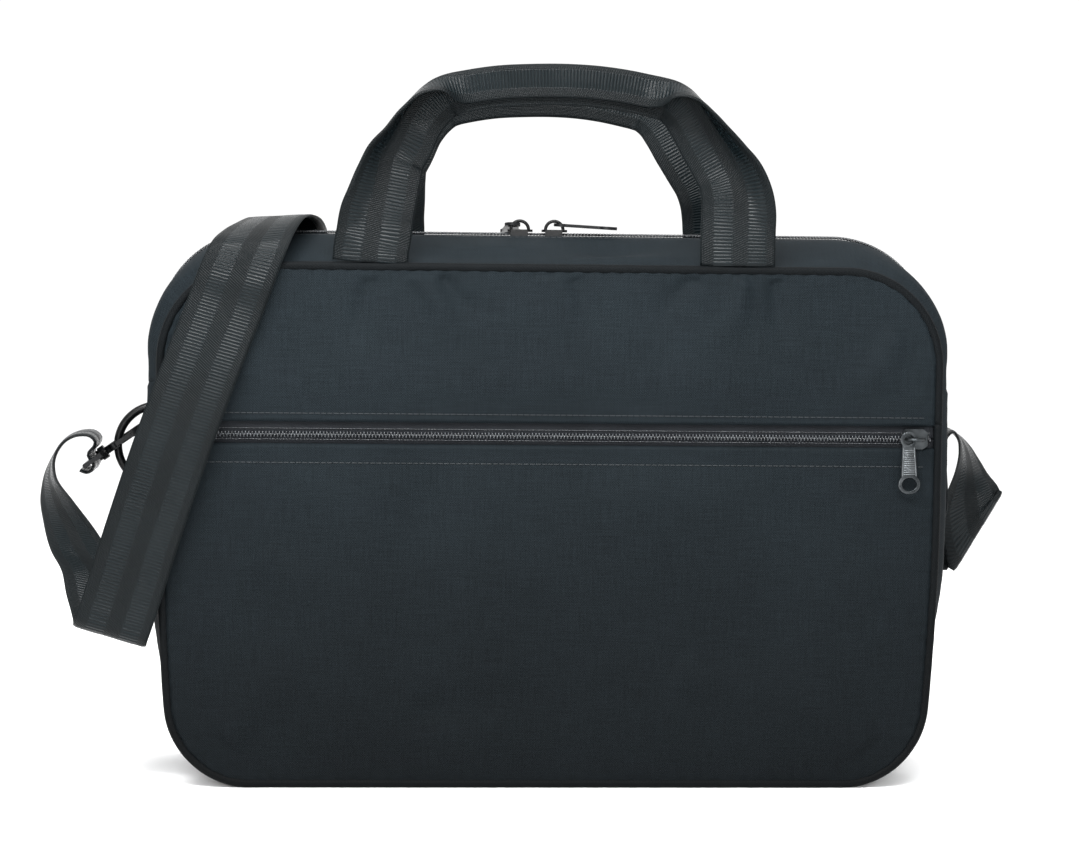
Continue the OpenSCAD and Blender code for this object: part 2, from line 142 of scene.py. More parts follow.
def run_length(points):
    return np.concatenate([[0], np.cumsum(np.linalg.norm(np.diff(points, axis=0), axis=1))])


# ---------- meshes ----------
def mesh_object(name, verts, faces, uvs, mat, flat=False):
    """Object from points in mm; uvs holds one pair in mm for each corner of each face, in order."""
    mesh = bpy.data.meshes.new(name)
    mesh.from_pydata((np.asarray(verts) * MM).tolist(), [], [list(map(int, f)) for f in faces])
    if uvs is not None:
        layer = mesh.uv_layers.new(name="UVMap")
        layer.data.foreach_set("uv", (np.asarray(uvs, float) * MM).ravel())
    mesh.materials.append(mat)
    mesh.polygons.foreach_set("use_smooth", [not flat] * len(mesh.polygons))
    mesh.update()
    obj = bpy.data.objects.new(name, mesh)
    bpy.context.scene.collection.objects.link(obj)
    return obj


def grid_parts(P, U, V, close_i=False, close_j=False, caps=False, flip=False):
    """Quads over a grid of points. U and V have one more row or column where the grid closes on itself."""
    n, m = P.shape[:2]
    i, j = np.meshgrid(np.arange(n if close_i else n - 1), np.arange(m if close_j else m - 1), indexing="ij")
    i, j = i.ravel(), j.ravel()
    i2, j2 = (i + 1) % n, (j + 1) % m
    faces = np.stack([i * m + j, i2 * m + j, i2 * m + j2, i * m + j2], 1)
    corners = [(i, j), (i + 1, j), (i + 1, j + 1), (i, j + 1)]
    uv = np.stack([np.stack([U[a, b], V[a, b]], -1) for a, b in corners], 1)
    if flip:
        faces, uv = faces[:, ::-1], uv[:, ::-1]
    faces, uv = faces.tolist(), uv.reshape(-1, 2).tolist()
    if caps:
        for row, turn in ((0, not flip), (n - 1, flip)):
            ring = [row * m + k for k in range(m)]
            faces.append(ring if turn else ring[::-1])
            uv += [[U[row, k], V[row, k]] for k in (range(m) if turn else range(m - 1, -1, -1))]
    return P.reshape(-1, 3), faces, uv


def grid_object(name, P, U, V, mat, **how):
    return mesh_object(name, *grid_parts(P, U, V, **how), mat)


def merged(name, parts, mat):
    """One object out of several (verts, faces, uvs)."""
    verts, faces, uvs, base = [], [], [], 0
    for v, f, u in parts:
        verts.append(np.asarray(v))
        faces += [[k + base for k in face] for face in f]
        uvs += list(u)
        base += len(v)
    return mesh_object(name, np.vstack(verts), faces, uvs, mat)


def thicken(obj, thickness):
    """Gives cloth its thickness, on the side that its grid's faces look away from."""
    m = obj.modifiers.new("cloth thickness", "SOLIDIFY")
    m.thickness, m.offset, m.use_quality_normals = thickness * MM, -1, True
    return obj


def finish_piece(obj, body, slot_name, *nodes, blends=False):
    """Puts the piece on its body, or bakes its placement into its mesh, and hides the CAD parts it stands for.
    """
    if blends:
        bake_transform(obj)
    else:
        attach(obj, body)
    if nodes:
        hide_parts(*nodes)
    return obj


# ---------- materials ----------
class Surface:
    """A material with short helpers for wiring its nodes."""

    def __init__(self, name, rough=0.5, metallic=0.0, specular=0.5, sheen=0.0, coat=0.0):
        self.mat = bpy.data.materials.new(name)
        self.mat.use_nodes = True
        self.tree = self.mat.node_tree
        self.shader = self.tree.nodes["Principled BSDF"]
        for socket, value in (("Roughness", rough), ("Metallic", metallic), ("Specular IOR Level", specular),
                              ("Sheen Weight", sheen), ("Sheen Roughness", 0.35), ("Coat Weight", coat)):
            self.shader.inputs[socket].default_value = value

    def node(self, kind, **values):
        made = self.tree.nodes.new(kind)
        for key, value in values.items():
            if key in made.inputs:
                self.feed(made.inputs[key], value)
            else:
                setattr(made, key, value)
        return made

    def feed(self, socket, value):
        if isinstance(value, bpy.types.NodeSocket):
            self.tree.links.new(value, socket)
        else:
            socket.default_value = value

    def math(self, operation, a, b=0.0):
        made = self.node("ShaderNodeMath", operation=operation)
        self.feed(made.inputs[0], a)
        self.feed(made.inputs[1], b)
        return made.outputs[0]

    def uv(self):
        flat = self.node("ShaderNodeUVMap", uv_map="UVMap").outputs[0]
        return self.node("ShaderNodeSeparateXYZ", Vector=flat).outputs[:2]

    def noise(self, scale, detail=2.0, stretch=(1, 1, 1), on_uv=False):
        if on_uv:
            source = self.node("ShaderNodeUVMap", uv_map="UVMap").outputs[0]
        else:
            source = self.node("ShaderNodeTexCoord").outputs["Object"]
        spot = self.node("ShaderNodeMapping", Vector=source, Scale=stretch).outputs[0]
        return self.node("ShaderNodeTexNoise", Vector=spot, Scale=scale, Detail=detail).outputs["Fac"]

    def wave(self, along, pitch):
        """Sine from 0 to 1 with that pitch in mm."""
        turn = self.math("MULTIPLY", along, 2 * math.pi / (pitch * MM))
        return self.math("MULTIPLY", self.math("ADD", self.math("SINE", turn), 1.0), 0.5)

    def ramp(self, fac, *stops):
        made = self.node("ShaderNodeValToRGB", Fac=fac)
        while len(made.color_ramp.elements) < len(stops):
            made.color_ramp.elements.new(0.5)
        for element, (place, value) in zip(made.color_ramp.elements, stops):
            element.position = place
            element.color = (*value, 1) if len(value) == 3 else value
        return made.outputs[0]

    def total(self, *terms):
        """Sum of (value, share) pairs."""
        parts = [self.math("MULTIPLY", value, share) for value, share in terms]
        out = parts[0]
        for part in parts[1:]:
            out = self.math("ADD", out, part)
        return out

    def grey(self, fac, lo, hi, start=0.0, end=1.0, blend="LINEAR"):
        """Carries the range from start to end over to the range from lo to hi."""
        made = self.node("ShaderNodeMapRange", interpolation_type=blend, Value=fac)
        for key, value in (("From Min", start), ("From Max", end), ("To Min", lo), ("To Max", hi)):
            made.inputs[key].default_value = value
        return made.outputs[0]

    def colour(self, socket):
        self.feed(self.shader.inputs["Base Color"], socket)

    def rough(self, fac, lo, hi):
        self.feed(self.shader.inputs["Roughness"], self.grey(fac, lo, hi))

    def bump(self, height, depth):
        made = self.node("ShaderNodeBump", Strength=1.0, Distance=depth * MM, Height=height)
        self.feed(self.shader.inputs["Normal"], made.outputs[0])


def plain_weave(s, u, v, pitch):
    """Height of a plain weave: threads over and under each other."""
    a = s.math("SINE", s.math("MULTIPLY", u, math.pi / (pitch * MM)))
    b = s.math("SINE", s.math("MULTIPLY", v, math.pi / (pitch * MM)))
    return s.math("ADD", s.math("MULTIPLY", s.math("MULTIPLY", a, b), 0.5), 0.5)


def cloth_material(name, dark, light, pitch, depth, rough, sheen, specular=0.4, painted_shade_at_base=1.0):
    """Woven cloth; the last argument, below 1, is painted shade that darkens the colour towards the base of the
    bag, where less light falls.
    """
    s = Surface(name, rough=rough, sheen=sheen, specular=specular)
    u, v = s.uv()
    weave = plain_weave(s, u, v, pitch)
    warp = s.noise(55, 3, (1, 26, 1), on_uv=True)
    weft = s.noise(55, 3, (26, 1, 1), on_uv=True)
    cloud = s.noise(14, 3)
    threads = s.total((warp, 0.5), (weft, 0.5))
    tone = s.total((threads, 0.55), (cloud, 0.25), (weave, 0.2))
    place = s.node("ShaderNodeSeparateXYZ", Vector=s.node("ShaderNodeTexCoord").outputs["Object"])
    shade = s.node("ShaderNodeMix", data_type="RGBA", blend_type="MULTIPLY")
    shade.inputs["Factor"].default_value = 1.0
    s.feed(shade.inputs[6], s.ramp(tone, (0.3, dark), (0.72, light)))
    # painted shade: the colour is multiplied down towards the base of the bag, as if less light reached the
    # lower cloth
    s.feed(shade.inputs[7], s.grey(place.outputs[2], painted_shade_at_base, 1.0, *PAINTED_SHADE_SPAN, blend="SMOOTHSTEP"))
    s.colour(shade.outputs[2])
    s.rough(s.total((threads, 0.6), (cloud, 0.4)), rough - 0.08, rough + 0.1)
    s.bump(s.total((weave, 1.0), (threads, 0.7)), depth)
    return s.mat


def webbing_material(name, dark, light, specular):
    """Belt webbing: two satin bands with bold cross ribs, finer weave between and beside them."""
    s = Surface(name, rough=0.4, specular=specular)
    u, v = s.uv()
    across = s.math("DIVIDE", v, WEB_W * MM)
    low, high = (s.math("ABSOLUTE", s.math("SUBTRACT", across, middle)) for middle in (0.29, 0.75))
    band = s.grey(s.math("MINIMUM", low, high), 1.0, 0.0, 0.105, 0.14, blend="SMOOTHSTEP")
    fine = s.wave(s.total((u, 1.0), (v, 0.5)), 1.15)
    strands = s.wave(v, 0.75)
    plain = s.total((fine, 0.55), (strands, 0.45))
    ribbed = s.total((s.wave(u, 1.7), 0.8), (strands, 0.2))
    cloud = s.noise(30, 3)
    height = s.total((ribbed, band), (plain, s.math("SUBTRACT", 1.0, band)))
    # the colour follows the weave's height and the satin bands: painted highlight on the rib crests and bands,
    # painted shade in the gaps between ribs, over the webbing's own mottled tone
    s.colour(s.ramp(s.total((height, 0.55), (cloud, 0.45), (band, 0.22)), (0.2, dark), (0.95, light)))
    s.feed(s.shader.inputs["Roughness"],
           s.total((s.grey(band, 0.4, 0.22), 1.0), (s.math("SUBTRACT", cloud, 0.5), 0.25)))
    s.bump(height, 0.26)
    return s.mat


def tape_material(name, dark, light):
    """Zip tape: a herringbone of fine ribs."""
    s = Surface(name, rough=0.62, specular=0.08)
    u, v = s.uv()
    ribs = s.wave(s.math("ADD", u, s.math("PINGPONG", v, 1.6 * MM)), 0.85)
    s.colour(s.ramp(s.total((ribs, 0.7), (s.noise(60, 2), 0.3)), (0.15, dark), (0.9, light)))
    s.bump(ribs, 0.16)
    return s.mat


def metal_material(name, dark, light, rough, metallic, wear, specular=0.6):
    """Cast metal, lighter where its edges are worn."""
    s = Surface(name, rough=rough, metallic=metallic, specular=specular)
    cloud = s.noise(220, 4)
    edge = s.node("ShaderNodeNewGeometry").outputs["Pointiness"]
    worn = s.grey(s.total((edge, 1.0), (s.math("SUBTRACT", cloud, 0.5), 0.06)), 0.0, wear, 0.52, 0.6)
    s.colour(s.ramp(s.total((cloud, 0.5), (worn, 1.0)), (0.15, dark), (0.95, light)))
    s.rough(cloud, rough - 0.07, rough + 0.12)
    s.bump(s.total((s.noise(1400, 2), 0.6), (cloud, 1.0)), 0.012)
    return s.mat


def coil_material(name, dark, light):
    s = Surface(name, rough=0.24, specular=0.5, coat=0.15)
    cloud = s.noise(400, 2)
    s.colour(s.ramp(cloud, (0.3, dark), (0.75, light)))
    s.rough(cloud, 0.18, 0.34)
    return s.mat


PAINTED_SHADE_SPAN = (-0.05, 0.25)  # heights in metres over which the painted shade on cloth fades out, darkest at the lower one
# the nylon and the piping carry painted shade, darker towards the base of the bag
NYLON = cloth_material("body nylon", (0.0022, 0.0036, 0.0046), (0.0092, 0.0132, 0.016),
                       0.62, 0.14, 0.66, 0.0, 0.05, painted_shade_at_base=0.35)
LINING = cloth_material("lining cloth", (0.02, 0.021, 0.024), (0.05, 0.052, 0.057), 0.5, 0.08, 0.5, 0.3)
PIPING = cloth_material("piping tape", (0.001, 0.0015, 0.0018), (0.0038, 0.0048, 0.0056),
                        0.8, 0.14, 0.6, 0.0, 0.05, painted_shade_at_base=0.45)
WEBBING = webbing_material("belt webbing", (0.0002, 0.0006, 0.0008), (0.0044, 0.007, 0.0082), 0.1)
TAPE = tape_material("zip tape", (0.0012, 0.0015, 0.002), (0.014, 0.016, 0.019))
COIL = coil_material("zip coil", (0.006, 0.007, 0.009), (0.03, 0.034, 0.038))
THREAD = cloth_material("sewing thread", (0.01, 0.012, 0.0135), (0.026, 0.03, 0.033),
                        0.35, 0.05, 0.6, 0.0, 0.15)
BLACK_METAL = metal_material("black lacquered metal", (0.001, 0.0012, 0.0014), (0.006, 0.0066, 0.0074),
                             0.3, 0.0, 0.3, 0.16)
GUNMETAL = metal_material("gunmetal", (0.02, 0.023, 0.025), (0.13, 0.14, 0.146), 0.28, 0.9, 0.5)
BOARD = cloth_material("stiffener board", (0.02, 0.021, 0.022), (0.045, 0.046, 0.048), 1.1, 0.1, 0.7, 0.1)


# ---------- outline of the seams: rows of [x, z, outward x, outward z] ----------
def line(x0, z0, x1, z1, nx, nz, step):
    n = max(2, round(math.hypot(x1 - x0, z1 - z0) / step))
    t = np.arange(n) / n
    return np.stack([x0 + (x1 - x0) * t, z0 + (z1 - z0) * t, np.full(n, nx), np.full(n, nz)], 1).astype(float)


def corner(cx, cz, r, a0, a1, step):
    n = max(4, round(abs(math.radians(a1 - a0)) * r / step))
    a = np.radians(a0 + (a1 - a0) * np.arange(n) / n)
    return np.stack([cx + r * np.cos(a), cz + r * np.sin(a), np.cos(a), np.sin(a)], 1)


def upper_outline(step, start_z=ZIP_END):
    """From the left side over the top to the right side."""
    return np.vstack([
        line(-SEAM_W, start_z, -SEAM_W, TOP_CZ, -1, 0, step), corner(-TOP_CX, TOP_CZ, TOP_R, 180, 90, step),
        line(-TOP_CX, SEAM_TOP, TOP_CX, SEAM_TOP, 0, 1, step), corner(TOP_CX, TOP_CZ, TOP_R, 90, 0, step),
        line(SEAM_W, TOP_CZ, SEAM_W, start_z, 1, 0, step), [[SEAM_W, start_z, 1, 0]]])


def lower_outline(step, start_z=ZIP_END):
    """From the right side under the base to the left side."""
    return np.vstack([
        line(SEAM_W, start_z, SEAM_W, LOW_CZ, 1, 0, step), corner(LOW_CX, LOW_CZ, LOW_R, 0, -90, step),
        line(LOW_CX, SEAM_LOW, -LOW_CX, SEAM_LOW, 0, -1, step), corner(-LOW_CX, LOW_CZ, LOW_R, 270, 180, step),
        line(-SEAM_W, LOW_CZ, -SEAM_W, start_z, -1, 0, step), [[-SEAM_W, start_z, -1, 0]]])


def taper(z):
    return np.where(z < 150, 1 - 0.04 * ((150 - z) / 150) ** 2, 1)


def swell(path):
    """How far the gusset stands beyond the seam in its middle."""
    z, nz = path[:, 1], path[:, 3]
    side = SIDE_BULGE * smooth((z + 10) / 125)
    return np.where(nz > 0, SIDE_BULGE + (RIDGE_RISE - SIDE_BULGE) * nz,
                    np.where(nz < -0.01, side + (SEAM_LOW - side) * -nz, side))


def dome_at(nz, y):
    dome = 1 - np.abs(y / HALF_DEPTH) ** 1.6
    flat = np.minimum(1, (HALF_DEPTH - np.abs(y)) / 10)
    down = np.clip(-nz, 0, 1)
    return dome * (1 - down) + flat * down


def gusset_points(path, y, lift):
    """Points of the gusset over the outline rows, at depths y, lifted off its surface."""
    y = np.broadcast_to(y, (len(path), np.shape(y)[-1]))
    nx, nz = path[:, 2:3], path[:, 3:4]
    full = np.exp(-((y + 33) / 15) ** 2) * np.clip((GUSSET_HALF + y) / 12, 0, 1)
    o = swell(path)[:, None] * dome_at(nz, y) + lift
    o = o + SIDE_FULLNESS * np.where(y < 0, full, 0) * np.abs(nx) ** 1.5 * smooth((path[:, 1:2] - 15) / 120)
    return np.stack([path[:, :1] * taper(path[:, 1:2]) + nx * o, y, path[:, 1:2] + nz * o], -1)


def path_length(path):
    return run_length(np.stack([path[:, 0] * taper(path[:, 1]), path[:, 1]], 1))


def gusset_relief(path, y, s):
    """Puckers along the seams and slow waves in the middle, in mm off the smooth surface."""
    S, Y = np.meshgrid(s, y, indexing="ij")
    near_seam = np.exp(-(HALF_DEPTH - np.abs(Y)) / 7)
    here = np.stack([S, Y, 0 * S], -1)
    slow = wobble(here * np.array([1, 1.4, 1]), 46, 3.1) + 0.5 * wobble(here, 21, 9.7)
    pucker = np.sin(S * 2 * math.pi / 9.5 + 2.5 * wobble(here, 30, 5.5)) * near_seam
    down = np.clip(-path[:, 3], 0, 1)[:, None]
    loose = (1 - near_seam) * np.minimum(1, (HALF_DEPTH - np.abs(Y)) / 12)
    return (0.95 * slow * loose + 0.42 * pucker) * (1 - down)


# ---------- body cloth ----------
def fold_over(y, lift, radius=0.5, tuck=5):
    """Depths and lifts of a hem: the cloth turns in on itself after its last column."""
    way = np.sign(y[-1] - y[-2])
    turn = np.radians([30, 75, 120, 160])
    extra_y = y[-1] + way * radius * np.sin(turn)
    extra_lift = lift[-1] - radius * (1 - np.cos(turn))
    return (np.concatenate([y, extra_y, [y[-1] - way * tuck]]),
            np.concatenate([lift, extra_lift, [lift[-1] - 2 * radius]]))


def top_gusset(name, side, node, **how):
    """side is -1 for the front half and 1 for the back half."""
    path = upper_outline(SEAM_STEP)
    s = path_length(path)
    y = np.linspace(GUSSET_HALF, ZIP_GAP, 24)
    y, lift = fold_over(y, np.where(y < ZIP_GAP + 4, -0.25, 0.0))
    relief = gusset_relief(path, side * y, s + (0 if side < 0 else 400))
    relief *= np.clip((y - ZIP_GAP) / 8, 0.0, 1.0)
    stitch_dip = -0.35 * np.exp(-((y - ZIP_STITCH) / 0.9) ** 2)
    x = path[:, :1] * np.ones_like(y)
    on_top = np.clip(path[:, 3:4], 0, 1)
    if side < 0:  # the soft dimple below the parked sliders, and the fold that leads to it
        relief -= 3.4 * np.exp(-((x - 31) / 20) ** 2 - ((y - 27) / 9) ** 2) * on_top
        relief += 1.6 * np.exp(-((x - 33) / 26) ** 2 - ((y - 40) / 5) ** 2) * on_top
        relief -= 2.0 * np.exp(-((x + 40) / 34) ** 2 - ((y - 36) / 6) ** 2) * on_top
    P = gusset_points(path, side * y, lift + relief + stitch_dip)
    U, V = np.meshgrid(s, np.concatenate([[0], np.cumsum(np.abs(np.diff(y)))]), indexing="ij")
    obj = thicken(grid_object(name, P, U, V, NYLON, flip=side > 0), CLOTH)
    return finish_piece(obj, "bag", "body_nylon", node, **how)


def side_gusset():
    path = lower_outline(2.6, ZIP_END + 2.5)
    s = path_length(path)
    y = np.linspace(-GUSSET_HALF, GUSSET_HALF, 46)
    under = -0.9 * smooth((path[:, 1:2] - ZIP_END + 1.6) / 1.4)
    P = gusset_points(path, y, gusset_relief(path, y, s + 900) + under)
    U, V = np.meshgrid(s, y, indexing="ij")
    obj = thicken(grid_object("side_bottom_cloth", P, U, V, NYLON, flip=True), CLOTH)
    return finish_piece(obj, "bag", "body_nylon", "side_bottom_gusset", blends=True)


def row_half_width(z, inset):
    """Half width of a panel at height z, inset from the seam."""
    top = TOP_CX + np.sqrt(np.maximum((TOP_R - inset) ** 2 - np.maximum(z - TOP_CZ, 0) ** 2, 0))
    low = LOW_CX + np.sqrt(np.maximum((LOW_R - inset) ** 2 - np.maximum(LOW_CZ - z, 0) ** 2, 0))
    return np.where(z > TOP_CZ, top, np.where(z < LOW_CZ, low, SEAM_W - inset)) * taper(z)


def panel_rows(z0, z1, inset, step):
    """Heights of a panel's rows: even steps, and even angles round the corners."""
    steps = int(round(math.pi / 2 * (TOP_R - inset) / step))
    top = TOP_CZ + (TOP_R - inset) * np.sin(np.linspace(0, math.pi / 2, steps + 1))
    low = LOW_CZ - (LOW_R - inset) * np.sin(np.linspace(0, math.pi / 2, steps + 1))[::-1]
    mid = np.linspace(LOW_CZ, TOP_CZ, int(round((TOP_CZ - LOW_CZ) / step)))
    z = np.unique(np.concatenate([low, mid, top]).round(4))
    z = z[(z > z0 + 0.2) & (z < z1 - 0.2)]
    ends = [max(z0, SEAM_LOW + inset), min(z1, SEAM_TOP - inset)]
    return np.concatenate([[ends[0]], z, [ends[1]]])


CREASE_DEPTH = 2.3
# creases that the handles and corners pull into the front: [x, z, way in degrees, length, width, height]
FRONT_CREASES = [
    [-72, 262, -60, 46, 5.5, 1.1], [-92, 261, -96, 58, 7, -0.9], [-58, 262, -38, 40, 5, -0.9],
    [-4, 262, -80, 34, 9, 0.8], [10, 262, -58, 38, 6, -0.8], [96, 262, -112, 44, 6, 1.1],
    [112, 262, -74, 42, 6, -1.0], [74, 262, -128, 40, 6, -0.8], [176, 236, -124, 52, 9, 0.8],
    [-176, 236, -52, 60, 9, 0.9], [-165, 22, 52, 70, 13, 1.0], [165, 20, 128, 76, 13, 1.0],
    [120, 168, -64, 90, 16, -1.0], [38, 168, -82, 70, 15, 0.7], [-60, 168, -98, 80, 16, -0.9],
    [-150, 120, -40, 70, 14, 0.7], [60, 60, -20, 110, 15, 0.8], [-70, 40, 12, 90, 12, -0.7]]


def creases(x, z, rows):
    total = np.zeros_like(x)
    for x0, z0, way, length, width, height in rows:
        dx, dz = math.cos(math.radians(way)), math.sin(math.radians(way))
        along = ((x - x0) * dx + (z - z0) * dz) / length
        bend = 4 * np.sin(np.clip(along, 0, 1) * math.pi) * math.copysign(1, height)
        aside = (x - x0) * dz - (z - z0) * dx + bend
        spread = width * (0.6 + 0.8 * np.clip(along, 0, 1))
        total += height * np.exp(-(aside / spread) ** 2) * smooth(along * 12) * smooth((1.05 - along) * 1.3)
    return total


def panel_relief(x, z, seed, rows):
    """How far a big panel stands out of its seam plane: it is pillowed, creased and slightly wavy."""
    u = np.abs(x) / (SEAM_W - 1)
    w = np.abs(z - (SEAM_TOP + SEAM_LOW) / 2) / ((SEAM_TOP - SEAM_LOW) / 2)
    pillow = 2.9 * (1 - np.clip(u, 0, 1) ** 3.4) * (1 - np.clip(w, 0, 1) ** 3.4)
    here = np.stack([x, 0 * x, z], -1)
    slow = 0.7 * wobble(here, 62, seed) + 0.32 * wobble(here, 27, seed + 4)
    edge = np.minimum(row_half_width(z, 0) - np.abs(x), np.minimum(SEAM_TOP - z, z - SEAM_LOW))
    hold = smooth(edge / 16)
    pucker = 0.42 * np.exp(-edge / 6) * smooth(edge / 2.2) * np.sin(
        (np.where(np.abs(x) / SEAM_W > w, z, x)) * 2 * math.pi / 8.7 + 3 * wobble(here, 33, seed + 8))
    return pillow + slow * hold + CREASE_DEPTH * creases(x, z, rows) * smooth(edge / 5.5) + pucker


def panel(name, node, side, z0, z1, seed, rows, hems=(), **how):
    """Front or back panel; side is -1 for the front, and hems names its turned edges, low or high."""
    z = panel_rows(z0, z1, PANEL_INSET, 2.1)
    offset = np.zeros_like(z)
    for hem in hems:
        way, edge = (-1, z[0]) if hem == "low" else (1, z[-1])
        extra_z, extra_o = edge + way * 0.7 * np.sin(HEM_TURN), -0.7 * (1 - np.cos(HEM_TURN))
        extra_z, extra_o = np.append(extra_z, edge - way * 4), np.append(extra_o, -1.5)
        near = smooth(1 - np.abs(z - edge) / 3)
        offset += 0.35 * near
        if way < 0:
            z, offset = np.concatenate([extra_z[::-1], z]), np.concatenate([extra_o[::-1], offset])
        else:
            z, offset = np.concatenate([z, extra_z]), np.concatenate([offset, extra_o])
    t = np.linspace(-1, 1, PANEL_COLUMNS)
    x = row_half_width(z, PANEL_INSET)[:, None] * t
    Z = z[:, None] * np.ones_like(t)
    relief = panel_relief(x, Z, seed, rows)
    if hems:  # the pocket zip holds the cloth flat, and its stitch lines sink in
        flat = smooth((np.abs(Z - ZIP_Z) - 7) / 26)
        relief = relief * flat + 0.75 * (1 - flat) * smooth((SEAM_W - np.abs(x)) / 10)
        for row in STITCH_ROWS:
            relief -= 0.3 * np.exp(-((Z - row) / 0.9) ** 2)
            relief += 0.25 * np.exp(-((Z - row) / 6) ** 2) * wobble(np.stack([x, 0 * x, Z], -1), 11, 2.2)
    edge_in = smooth((row_half_width(Z, PANEL_INSET) - np.abs(x)) / 6)
    y = side * (HALF_DEPTH + 0.2 + relief + offset[:, None] * edge_in)
    P = np.stack([x, y, Z], -1)
    V = np.concatenate([[0], np.cumsum(np.hypot(np.diff(z), np.diff(offset)))])[:, None] * np.ones_like(t)
    obj = thicken(grid_object(name, P, x, V, NYLON, flip=side > 0), CLOTH)
    return finish_piece(obj, "bag", "body_nylon", node, **how)


UPPER_EDGE = HINGE_Z + 0.4
LOWER_EDGE = ZIP_Z - 6.2
STITCH_ROWS = [HINGE_Z + 3.2, ZIP_Z - 14.2]
BACK_CREASES = [[-x, z, -180 - way, *rest] for x, z, way, *rest in FRONT_CREASES if z > 230 or z < 30]

front_lower = panel("front_lower_cloth", "front_panel_lower", -1, SEAM_LOW, LOWER_EDGE, 1.7, FRONT_CREASES,
                    hems=("high",))
front_upper = panel("front_upper_cloth", "front_panel_upper", -1, UPPER_EDGE, SEAM_TOP, 1.7, FRONT_CREASES,
                    hems=("low",), blends=True)
panel("back_cloth", "back_panel", 1, SEAM_LOW, SEAM_TOP, 12.4, BACK_CREASES)
top_gusset("top_cloth_front", -1, "top_gusset_front", blends=True)
top_gusset("top_cloth_back", 1, "top_gusset_back")
side_gusset()


def tube(name, path, y, radius, mat, closed=False):
    """Round cord laid along the outline, with the slight unevenness of a sewn edge."""
    s = path_length(path)
    a = np.linspace(0, 2 * math.pi, 13)
    S, A = np.meshgrid(s, a[:-1], indexing="ij")
    r = radius * (1 + 0.05 * wobble(np.stack([S, 0 * S, 0 * S], -1), 7, 1.3) + 0.03 * np.cos(A * 2))
    out, deep = 0.7 + r * np.cos(A), y + r * np.sin(A)
    x = path[:, :1] * taper(path[:, 1:2]) + path[:, 2:3] * out
    P = np.stack([x, deep, path[:, 1:2] + path[:, 3:4] * out], -1)
    if closed:
        s = np.append(s, s[-1] + SEAM_STEP)
    U, V = np.meshgrid(s, a * radius, indexing="ij")
    return grid_object(name, P, U, V, mat, close_i=closed, close_j=True, caps=not closed, flip=True)


finish_piece(tube("piping_cord_upper", upper_outline(SEAM_STEP, HINGE_Z), -HALF_DEPTH, PIPING_R, PIPING),
             "bag", "piping", "piping_front_upper", blends=True)
finish_piece(tube("piping_cord_lower", lower_outline(SEAM_STEP, HINGE_Z), -HALF_DEPTH, PIPING_R, PIPING),
             "bag", "piping", "piping_front_lower")
whole = np.vstack([upper_outline(SEAM_STEP)[:-1], lower_outline(SEAM_STEP)[:-1]])
finish_piece(tube("piping_cord_back", whole, HALF_DEPTH, PIPING_R, PIPING, closed=True),
             "bag", "piping", "piping_back")


# ---------- stitches ----------
def capsule(a, b, radius, sides=6):
    """Rounded rod from a to b."""
    axis = unit(b - a)
    side = unit(np.cross(axis, [0.31, 0.73, 0.61]))
    other = np.cross(axis, side)
    ang = np.arange(sides) * 2 * math.pi / sides
    ring = np.cos(ang)[:, None] * side + np.sin(ang)[:, None] * other
    rows = [a - axis * radius * 0.8 + ring * radius * 0.45, a + ring * radius, b + ring * radius,
            b + axis * radius * 0.8 + ring * radius * 0.45]
    P = np.stack(rows)
    U, V = np.meshgrid(np.arange(4.0), np.arange(sides + 1.0), indexing="ij")
    return grid_parts(P, U, V, close_j=True, caps=True, flip=True)


def stitch_line(name, points, out, pitch=3.1, length=2.2, radius=0.3, blends=False, lift=0.22):
    """Row of stitches over a line of surface points with outward directions."""
    s = run_length(points)
    parts = []
    for start in np.arange(0.6, s[-1] - length, pitch):
        a, b = (np.array([np.interp(q, s, points[:, k]) for k in range(3)]) for q in (start, start + length))
        n = unit(np.array([np.interp(start, s, out[:, k]) for k in range(3)]))
        parts.append(capsule(a + n * lift, b + n * lift, radius))
    return finish_piece(merged(name, parts, THREAD), "bag", "piping", blends=blends)


def surface_row(obj, low, high, z):
    """Points of a front panel's grid along height z, between two x; the cloth's face is CLOTH further out."""
    co = np.array([v.co for v in obj.data.vertices]).reshape(-1, PANEL_COLUMNS, 3) / MM
    outer = co[HEM_ROWS:] if obj is front_upper else co[:-HEM_ROWS]
    heights = outer[:, PANEL_COLUMNS // 2, 2]
    k = np.searchsorted(heights, z)
    below, above = outer[k - 1], outer[k]
    share = (z - heights[k - 1]) / (heights[k] - heights[k - 1])
    x = np.arange(low, high, 1.5)
    y = (1 - share) * np.interp(x, below[:, 0], below[:, 1]) + share * np.interp(x, above[:, 0], above[:, 1])
    return np.stack([x, y, np.full_like(x, z)], 1)


for label, cloth, height in (("upper", front_upper, STITCH_ROWS[0]), ("lower", front_lower, STITCH_ROWS[1])):
    points = surface_row(cloth, -SEAM_W + 5, SEAM_W - 5, height)
    stitch_line(f"pocket_stitches_{label}", points, np.tile([0.0, -1.0, 0.0], (len(points), 1)),
                blends=label == "upper", lift=CLOTH + 0.12)

for label, side in (("front", -1), ("back", 1)):
    path = upper_outline(1.5)
    row = gusset_points(path, np.array([side * ZIP_STITCH]), -0.55)[:, 0]
    stitch_line(f"zip_stitches_{label}", row, np.stack([path[:, 2], 0 * path[:, 0], path[:, 3]], 1),
                blends=side < 0)


# ---------- zips ----------
def zip_tape(name, side, node, **how):
    path = upper_outline(3, ZIP_END - 1)
    s = path_length(path)
    y = np.linspace(13.5, 0.35, 12)
    lift = np.where(y < 3.4, -1.05, -1.5)
    P = gusset_points(path, side * y, lift)
    U, V = np.meshgrid(s, y, indexing="ij")
    obj = thicken(grid_object(name, P, U, V, TAPE, flip=side > 0), 0.6)
    return finish_piece(obj, "bag", "zip_tape", node, **how)


TOOTH_PITCH = 1.7


